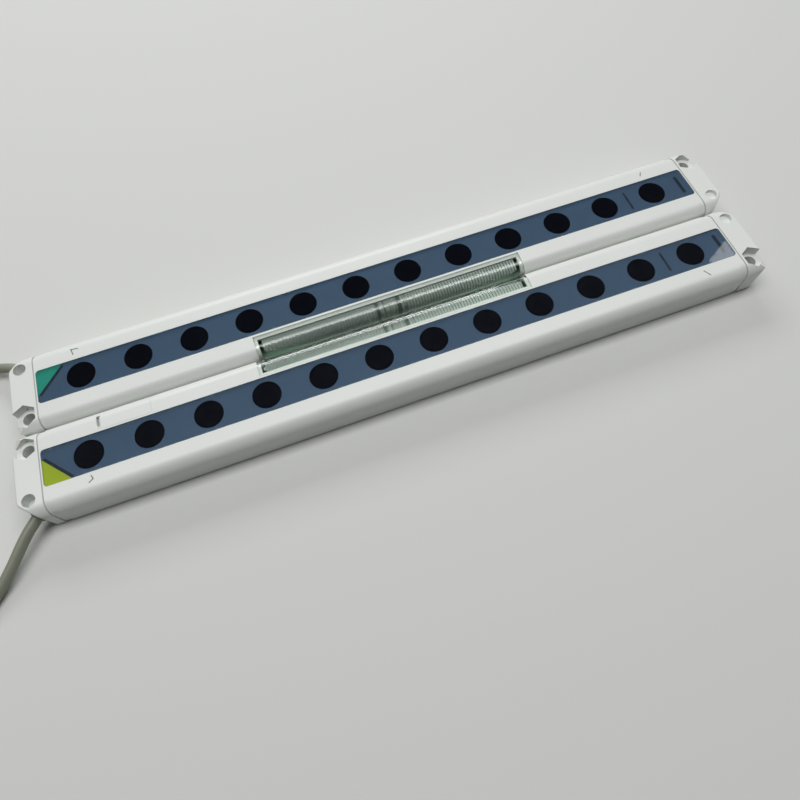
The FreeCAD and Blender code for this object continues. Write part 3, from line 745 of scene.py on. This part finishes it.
class CURTAIN_OT_straps(bpy.types.Operator):
    """Tie each coil with a strap"""

    bl_idname = "curtain.straps"
    bl_label = "Straps"

    # The strap, in millimetres from the coil's middle, and its angle from the coil's start in degrees:
    # the band's inner and outer side, its top and wall, then the corners of the head and of the cut
    # end that stands out of it, from the band's outer side.
    angle = 122
    band = (13.55, 28.45, 14.55, 0.8)
    head = ((0, -2.2, 5.5), (3.3, 2.2, 10.7))
    stub = ((1.3, -1.5, 9.4), (2.1, 1.5, 11.6))
    band_round = 0.15
    head_round = 0.5
    head_rim = 0.45

    def execute(self, context):
        nylon = plain_moulding("moulded nylon, black", linear("#1B1C1D"), 0.38, 0.4, 1.53)
        for name in SIDES:
            hand_over(self.strap(name), nylon, "black_plastic", name + "_cable_tie")
        return {"FINISHED"}

    def strap(self, name):
        """The band round the coil, its head, and the cut end that stands out of the head."""
        inner, outer, top, wall = self.band
        deselect()
        bpy.ops.mesh.primitive_cube_add(
            size=1,
            location=((inner + outer) / 2 * MM, 0, (top + wall) / 2 * MM),
            scale=((outer - inner + 2 * wall) * MM, settings("cable").tie_width, (top + wall) * MM),
        )
        band = settle(name + "_band")
        edit(band)
        pick(band, "FACE", lambda middle, normal: abs(normal.y) > 0.9)
        bpy.ops.mesh.delete(type="FACE")
        bevel(band, "EDGE", lambda middle, along: abs(along.y) > 0.9, size=1.5 * MM, segments=5)
        bpy.ops.object.mode_set(mode="OBJECT")
        modify(band, "SOLIDIFY", thickness=wall * MM, offset=-1)
        modify(band, "BEVEL", width=self.band_round * MM, segments=2, angle_limit=math.radians(50))
        side = Vector((outer, 0, 0))
        head = plate(name + "_head", *((side + Vector(place)) * MM for place in self.head))
        edit(head)
        bpy.ops.mesh.bevel(offset=self.head_round * MM, segments=3, affect="EDGES")
        pick(head, "FACE", lambda middle, normal: normal.z > 0.99)
        bpy.ops.mesh.inset(thickness=self.head_rim * MM)
        bpy.ops.mesh.extrude_region_move(TRANSFORM_OT_translate={"value": (0, 0, -wall * MM)})
        stub = plate(name + "_stub", *((side + Vector(place)) * MM for place in self.stub))
        edit(stub)
        bevel(stub, "EDGE", lambda middle, along: abs(along.x) > 0.9, size=0.3 * MM, segments=2)
        piece = join([band, head, stub], name + "_strap")
        _, center, _, start = coil_place(name)
        center.z = 0
        around = start + SIDES[name] * math.radians(self.angle)
        piece.data.transform(Matrix.Translation(center * MM) @ Matrix.Rotation(around, 4, "Z"))
        smooth(piece, 35)
        return piece


class CURTAIN_OT_mouldings(bpy.types.Operator):
    """Finish the housings, end caps and adjuster cover"""

    bl_idname = "curtain.mouldings"
    bl_label = "Housings and caps"

    # The corner of a cap that holds the hexagonal pocket, in millimetres: the pocket's middle from the
    # end and from the side, its floor and its width across flats; how far the fill reaches, its round,
    # its lift off the floor, its height at the end and its slope there; the cap's rounds along the
    # front and the back.
    pocket_middle = (3.9, 5.8)
    pocket_floor = 9.8
    pocket_flats = 7.2
    fill_reach = 6.2
    fill_round = 3.5
    fill_lift = 0.05
    fill_rim = 10.3
    fill_slope = 0.65
    front_round = 4.55
    back_round = 0.9
    # How far the tools reach from the corner, past the cap and up, and how much they are wider or
    # narrower than what they meet, so that no two faces lie in one plane.
    profile_reach = (8, 12)
    past = 1
    wall_top = 14
    pocket_height = 5
    pocket_slip = 0.02
    wall_slip = 0.03
    wall_overlap = 0.05
    notch = ((-106.5, -6.7, 11.1), (-105.75, -2.9, 14.0))
    smooth_angle = 30

    def execute(self, context):
        abs_grey = moulded_abs("moulded ABS, pale grey", settings("colours").housing)
        width = settings("details").edge_round
        for name, side in SIDES.items():
            piece = merged_copy(name + "_housing", name + "_case")
            if name == "receiver":
                # The pry notch beside the adjuster cover, as a narrow slot with dark walls.
                carve(piece, plate("notch", *(Vector(place) * MM for place in self.notch)), "DIFFERENCE")
            smooth(piece, self.smooth_angle)
            hand_over(piece, abs_grey, "housing_shell", name + "_housing")
            for end, towards in (("left", -1), ("right", 1)):
                node = f"{name}_{end}_cap"
                piece = merged_copy(node, f"{name}_{end}_end")
                self.open_corner(piece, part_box(node), towards, towards * side)
                round_edges(piece, width, self.smooth_angle)
                hand_over(piece, abs_grey, "end_cap", node)
        piece = merged_copy("receiver_adjuster_cover", "receiver_flush_cover")
        smooth(piece, self.smooth_angle)
        hand_over(piece, abs_grey, "housing_shell", "receiver_adjuster_cover")
        return {"FINISHED"}

    def open_corner(self, piece, bounds, towards, out):
        """Give a cap a fuller corner round its nut pocket, and open the pocket to the end."""
        low, high = bounds
        corner = Vector((high.x if towards > 0 else low.x, high.y if out > 0 else low.y, 0))
        top = high.z / MM

        def block(name, across, along, bottom, top):
            first = corner - Vector((towards * across[0], out * along[0], -bottom)) * MM
            last = corner - Vector((towards * across[1], out * along[1], -top)) * MM
            ends = [sorted(pair) for pair in zip(first, last)]
            return plate(name, [pair[0] for pair in ends], [pair[1] for pair in ends])

        reach = self.fill_reach
        fill = block("fill", (0, reach), (0, reach), self.fill_lift, top)
        edit(fill)
        bevel(
            fill,
            "EDGE",
            lambda middle, along: abs(along.z) > 0.9 and (middle - corner).xy.length < MM,
            size=self.fill_round * MM,
            segments=8,
        )
        for place, normal, inner in (
            (corner - Vector((towards * reach * MM, 0, 0)), (towards, out, 0), True),
            (corner + Vector((0, 0, self.fill_rim * MM)), (towards * self.fill_slope, 0, 1), False),
        ):
            bpy.ops.mesh.select_all(action="SELECT")
            bpy.ops.mesh.bisect(
                plane_co=place, plane_no=normal, clear_inner=inner, clear_outer=not inner, use_fill=True
            )
        across, along = self.profile_reach
        profile = block("profile", (-self.past, across), (0, along), self.fill_lift, top)
        edit(profile)
        for height, size in ((high.z, self.front_round), (self.fill_lift * MM, self.back_round)):
            bevel(
                profile,
                "EDGE",
                lambda middle, along: abs(along.x) > 0.9
                and abs(middle.z - height) < 0.01 * MM
                and abs(middle.y - corner.y) < 0.1 * MM,
                size=size * MM,
                segments=10,
            )
        carve(fill, profile, "INTERSECT")
        across, along = self.pocket_middle
        half_side = self.pocket_flats / math.sqrt(12)
        middle = corner - Vector((towards * across, out * along, 0)) * MM
        middle.z = (self.pocket_floor + self.pocket_height / 2) * MM
        deselect()
        bpy.ops.mesh.primitive_cylinder_add(
            vertices=6,
            radius=(2 * half_side + self.pocket_slip) * MM,
            depth=self.pocket_height * MM,
            location=middle,
        )
        carve(fill, settle("pocket"), "DIFFERENCE")
        carve(piece, fill, "UNION")
        wall = block(
            "wall",
            (-self.past, across - self.pocket_flats / 2 + self.wall_overlap),
            (along - half_side + self.wall_slip, along + half_side - self.wall_slip),
            self.pocket_floor,
            self.wall_top,
        )
        carve(piece, wall, "DIFFERENCE")


class CURTAIN_OT_front_windows(bpy.types.Operator):
    """Fit the clear strips that close the fronts"""

    bl_idname = "curtain.front_windows"
    bl_label = "Front windows"

    def execute(self, context):
        clear = clear_plastic("clear acrylic strip", linear("#FFFFFF"), wave=14.0, least=0.015, most=0.03)
        gap = settings("details").window_gap
        for name in SIDES:
            low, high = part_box(name + "_front_window")
            low.z += gap
            piece = rounded_plate(name + "_window", low, high, size=1.2 * MM, segments=6)
            edit(piece)
            bevel(piece, "FACE", lambda middle, normal: normal.z > 0.9, size=0.1 * MM, segments=2)
            smooth(piece, 40)
            hand_over(piece, clear, "front_window", name + "_front_window")
        return {"FINISHED"}


class CURTAIN_OT_films(bpy.types.Operator):
    """Print the films, their corner patches and the plain marks on them"""

    bl_idname = "curtain.films"
    bl_label = "Printed films"

    # Plain bars of print across the film, in millimetres: each one's distance from the middle along
    # the film and its width, then the length of both and how far they lie off its middle line.
    bars = ((99.8, 0.85), (121.8, 1.3))
    bar_length = 8.4
    bar_offset = 0.2
    # The slanted line beside the patch, in millimetres: its length and width, and the distance of its
    # middle from the patch's slanted edge.
    slant_length = 12.6
    slant_width = 1.05
    slant_offset = 0.53

    def execute(self, context):
        colours = settings("colours")
        paint_nodes(print_film=printed_ink("printed film, slate blue", colours.film, 0.4, 0.05))
        mark_ink = printed_ink("printed film, dark marks", colours.film_print, 0.5, 0.1)
        teal = printed_ink("printed film, teal", colours.emitter_patch, 0.4, 0.04)
        green = printed_ink("printed film, yellow green", colours.receiver_patch, 0.4, 0.04)
        paint("emitter_colour_patch", teal)
        paint("receiver_colour_patch", green)
        for name, side in SIDES.items():
            low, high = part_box(name + "_front_window")
            middle = (low + high) / 2
            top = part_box(name + "_print_film")[1].z
            marks = []
            for x, width in self.bars:
                center = Vector((middle.x + x * MM, middle.y - side * self.bar_offset * MM, top))
                marks.append(self.mark(name, center, Vector((0, 1, 0)), self.bar_length, width))
            low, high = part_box(name + "_colour_patch")
            inner, outer = (low.y, high.y) if side > 0 else (high.y, low.y)
            first = Vector((low.x, inner, top))
            last = Vector((high.x, outer, top))
            along = (last - first).normalized()
            inwards = Vector((along.y, -along.x, 0)) * side
            center = (first + last) / 2 + inwards * self.slant_offset * MM
            marks.append(self.mark(name, center, along, self.slant_length, self.slant_width))
            hand_over(join(marks, name + "_film_marks"), mark_ink, "print_film")
        return {"FINISHED"}

    def mark(self, name, center, along, span, width):
        """A thin printed bar with rounded corners, its length and width given in millimetres."""
        heights = (0, settings("details").mark_depth)
        return stroke(name + "_mark", center, along, span * MM, width * MM, heights, 0.3 * width * MM, 3)


class CURTAIN_OT_optics(bpy.types.Operator):
    """Finish the lenses, their holders and the diodes"""

    bl_idname = "curtain.optics"
    bl_label = "Optics"

    def execute(self, context):
        paint_nodes(
            lens_array=dark_acrylic("dark infrared acrylic, moulded", settings("colours").lens),
            optics_holder=plain_moulding("moulded ABS, black", linear("#141517"), 0.6, 0.5),
            beam_diodes=plain_moulding("diode resin, smoky", linear("#2A2430"), 0.25, 0.8),
        )
        return {"FINISHED"}


class CURTAIN_OT_indicators(bpy.types.Operator):
    """Fit the indicators: clear windows, light guides and diodes"""

    bl_idname = "curtain.indicators"
    bl_label = "Indicators"

    # Half the width of the plain block in the guide's middle, in millimetres.
    block_half = 6.0

    def execute(self, context):
        details = settings("details")
        clear = clear_plastic("clear acrylic, moulded", linear("#F8FBF9"), wave=9.0, least=0.02, most=0.06)
        guide = ribbed_acrylic(
            "ribbed acrylic, moulded", settings("colours").guide, details.rib_pitch, self.block_half * MM
        )
        paint_nodes(indicator_leds=plain_moulding("diode resin, milky", linear("#9DB5A6"), 0.3, 0.8))
        for name, side in SIDES.items():
            piece = merged_copy(name + "_indicator_window", name + "_indicator_cover")
            smooth(piece, 30)
            edit(piece)
            inner = Vector((0, side, -1))
            low, high = (corner.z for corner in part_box(name + "_indicator_window"))
            pick(
                piece,
                "FACE",
                lambda middle, normal: normal.dot(inner) > 0.9 and low + MM < middle.z < high - MM,
            )
            bpy.ops.transform.translate(value=inner * -details.window_gap)
            bpy.ops.object.mode_set(mode="OBJECT")
            hand_over(piece, clear, "indicator_window", name + "_indicator_window")
            piece = merged_copy(name + "_light_guide", name + "_ribbed_guide")
            self.ribs(piece, Vector((0, -side, 1)))
            hand_over(piece, guide, "light_guide", name + "_light_guide")
        return {"FINISHED"}

    def ribs(self, piece, outwards):
        """Raise fine ribs across the guide's outer faces, with their crests pushed outwards."""
        details = settings("details")
        half = details.rib_pitch / 2
        places = [vertex.co.x / half for vertex in piece.data.vertices]
        edit(piece)
        for index in range(math.ceil(min(places)), math.floor(max(places)) + 1):
            bpy.ops.mesh.select_all(action="SELECT")
            bpy.ops.mesh.bisect(plane_co=(index * half, 0, 0), plane_no=(1, 0, 0))
        bpy.ops.mesh.select_mode(type="VERT")
        bpy.ops.mesh.select_all(action="DESELECT")
        mesh = bmesh.from_edit_mesh(piece.data)
        mesh.normal_update()
        for vertex in mesh.verts:
            crest = round(vertex.co.x / details.rib_pitch) * details.rib_pitch
            on_crest = abs(crest - vertex.co.x) < 0.01 * MM
            vertex.select_set(on_crest and vertex.normal.dot(outwards) > 0.9)
        mesh.select_flush_mode()
        bmesh.update_edit_mesh(piece.data)
        bpy.ops.transform.translate(value=outwards * details.rib_height)
        smooth(piece, 20)


class CURTAIN_OT_electronics(bpy.types.Operator):
    """Finish the boards and what stands on them"""

    bl_idname = "curtain.electronics"
    bl_label = "Boards"

    def execute(self, context):
        paint_nodes(
            circuit_board=plain_moulding(
                "glass-fibre board, green solder mask", linear("#6F8A78"), 0.4, 1.0
            ),
            driver_chips=plain_moulding("moulded epoxy, black", linear("#1C1C1E"), 0.55, 0.4),
            lead_connector=plain_moulding("moulded nylon, natural", linear("#D9D5C6"), 0.5, 0.6),
            lead_wires=plain_moulding("extruded PVC insulation, grey", linear("#6E6F72"), 0.45, 0.3),
        )
        return {"FINISHED"}


class CURTAIN_OT_seals(bpy.types.Operator):
    """Finish the gaskets and the bushes round the cables"""

    bl_idname = "curtain.seals"
    bl_label = "Seals"

    def execute(self, context):
        rubber = plain_moulding("cut EPDM rubber sheet", settings("colours").rubber, 0.75, 0.3)
        bush = plain_moulding("moulded EPDM rubber", linear("#7E8076"), 0.6, 0.4)
        paint_nodes(left_gasket=rubber, right_gasket=rubber)
        for name in SIDES:
            piece = merged_copy(name + "_cable_bush", name + "_bush")
            round_edges(piece, 0.15 * MM, 30)
            hand_over(piece, bush, "cable_bush", name + "_cable_bush")
        return {"FINISHED"}


class CURTAIN_OT_screws(bpy.types.Operator):
    """Fit the cross-recessed screws that hold the end caps"""

    bl_idname = "curtain.screws"
    bl_label = "Cap screws"

    # The screw, in millimetres: its head's radius, height and round, how far the shank is set in from
    # the head, the shank's length, its tip's length and taper, and the recess's length, width and depth.
    head_radius = 1.9
    head_height = 1.3
    head_round = 0.45
    shank_inset = 0.8
    shank_length = 10.9
    tip_length = 1.1
    tip_taper = 0.35
    recess = (2.2, 0.44, 0.9)

    def execute(self, context):
        steel = plated_metal("turned steel, zinc plated", linear("#B9BCBF"), 0.32)
        screw = self.screw()
        for name in SIDES:
            low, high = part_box(name + "_cap_screws")
            copies = []
            height = (low.z + high.z) / 2
            reach = (high.y - low.y) / 2 - self.head_radius * MM
            middle = (low.y + high.y) / 2
            for x, angle in ((low.x, math.pi), (high.x, 0)):
                for y in (middle - reach, middle + reach):
                    place = Matrix.Translation((x, y, height)) @ Matrix.Rotation(angle, 4, "Z")
                    copies.append(copy_of(screw, name + "_screw", place))
            piece = join(copies, name + "_end_screws")
            hand_over(piece, steel, "screw_steel", name + "_cap_screws")
        bpy.data.objects.remove(screw)
        return {"FINISHED"}

    def screw(self):
        """One screw along X, with the top of its head at the origin."""
        deselect()
        bpy.ops.mesh.primitive_cylinder_add(
            vertices=32,
            radius=self.head_radius * MM,
            depth=self.head_height * MM,
            location=(-self.head_height / 2 * MM, 0, 0),
            rotation=(0, math.pi / 2, 0),
        )
        piece = settle("screw")
        edit(piece)
        bevel(piece, "EDGE", lambda middle, along: middle.x > -0.1 * MM, self.head_round * MM, segments=4)
        pick(piece, "FACE", lambda middle, normal: normal.x < -0.9)
        bpy.ops.mesh.inset(thickness=self.shank_inset * MM)
        for span in (self.shank_length, self.tip_length):
            bpy.ops.mesh.extrude_region_move(TRANSFORM_OT_translate={"value": (-span * MM, 0, 0)})
        bpy.ops.transform.resize(value=(1, self.tip_taper, self.tip_taper))
        span, width, depth = self.recess
        far = Vector((0.4, span / 2, width / 2)) * MM
        cutter = plate("cross", (-depth * MM, -far.y, -far.z), far)
        other = copy_of(cutter, "cross_other", Matrix.Rotation(math.pi / 2, 4, "X"))
        for tool in (cutter, other):
            carve(piece, tool, "DIFFERENCE")
        smooth(piece, 35)
        return piece


class CURTAIN_OT_axis_marks(bpy.types.Operator):
    """Mark the ends of the sensing zone on the housings"""

    bl_idname = "curtain.axis_marks"
    bl_label = "Zone marks"

    # Each mark's line on the front, in millimetres in the frame.
    lines = {
        "emitter": (
            ((-108.95, 25.7), (-111.35, 26.0), (-110.85, 23.8)),
            ((111.25, 25.4), (110.35, 23.9)),
        ),
        "receiver": (
            ((-110.7, -23.0), (-110.25, -24.2), (-111.6, -25.1)),
            ((109.55, -23.7), (110.85, -26.0)),
        ),
    }

    def execute(self, context):
        ink = printed_ink("pad-printed ink, dark grey", linear("#76807E"), 0.5, 0.08)
        width, depth = settings("details").mark_width, settings("details").mark_depth
        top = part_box("emitter_housing")[1].z
        for name in SIDES:
            runs = []
            for line in self.lines[name]:
                for ends in zip(line, line[1:]):
                    first, last = (Vector((x * MM, y * MM, top)) for x, y in ends)
                    span = (last - first).length + width
                    place = ((first + last) / 2, last - first)
                    runs.append(stroke("stroke", *place, span, width, (-depth, depth), 0.45 * width, 4))
            hand_over(join(runs, name + "_zone_marks"), ink, "housing_shell")
        return {"FINISHED"}


OPERATORS = (
    CURTAIN_OT_stage,
    CURTAIN_OT_cable_ends,
    CURTAIN_OT_straps,
    CURTAIN_OT_cables,
    CURTAIN_OT_mouldings,
    CURTAIN_OT_front_windows,
    CURTAIN_OT_films,
    CURTAIN_OT_optics,
    CURTAIN_OT_indicators,
    CURTAIN_OT_electronics,
    CURTAIN_OT_seals,
    CURTAIN_OT_screws,
    CURTAIN_OT_axis_marks,
)
GROUPS = {
    "colours": CurtainColours,
    "cable": CurtainCable,
    "details": CurtainDetails,
    "stage": CurtainStage,
}


class CURTAIN_PT_panel(bpy.types.Panel):
    """The add-on's sizes, colours and steps"""

    bl_idname = "CURTAIN_PT_panel"
    bl_label = "Light curtain"
    bl_space_type = "VIEW_3D"
    bl_region_type = "UI"
    bl_category = "Light curtain"

    def draw(self, context):
        layout = self.layout
        for group_name, group in GROUPS.items():
            box = layout.box()
            box.label(text=group_name.capitalize())
            for key in group.__annotations__:
                box.prop(settings(group_name), key)
        for operator in OPERATORS:
            layout.operator(operator.bl_idname)


def register():
    """Register the add-on's classes and put its settings on the scene."""
    for item in (*GROUPS.values(), *OPERATORS, CURTAIN_PT_panel):
        bpy.utils.register_class(item)
    for group_name, group in GROUPS.items():
        setattr(bpy.types.Scene, "curtain_" + group_name, bpy.props.PointerProperty(type=group))


def unregister():
    """Take the add-on's settings and classes away again."""
    for group_name in GROUPS:
        delattr(bpy.types.Scene, "curtain_" + group_name)
    for item in reversed((*GROUPS.values(), *OPERATORS, CURTAIN_PT_panel)):
        bpy.utils.unregister_class(item)


def main():
    """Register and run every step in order."""
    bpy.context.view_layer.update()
    register()
    for operator in OPERATORS:
        group, step = operator.bl_idname.split(".")
        getattr(getattr(bpy.ops, group), step)()


if __name__ == "__main__":
    main()
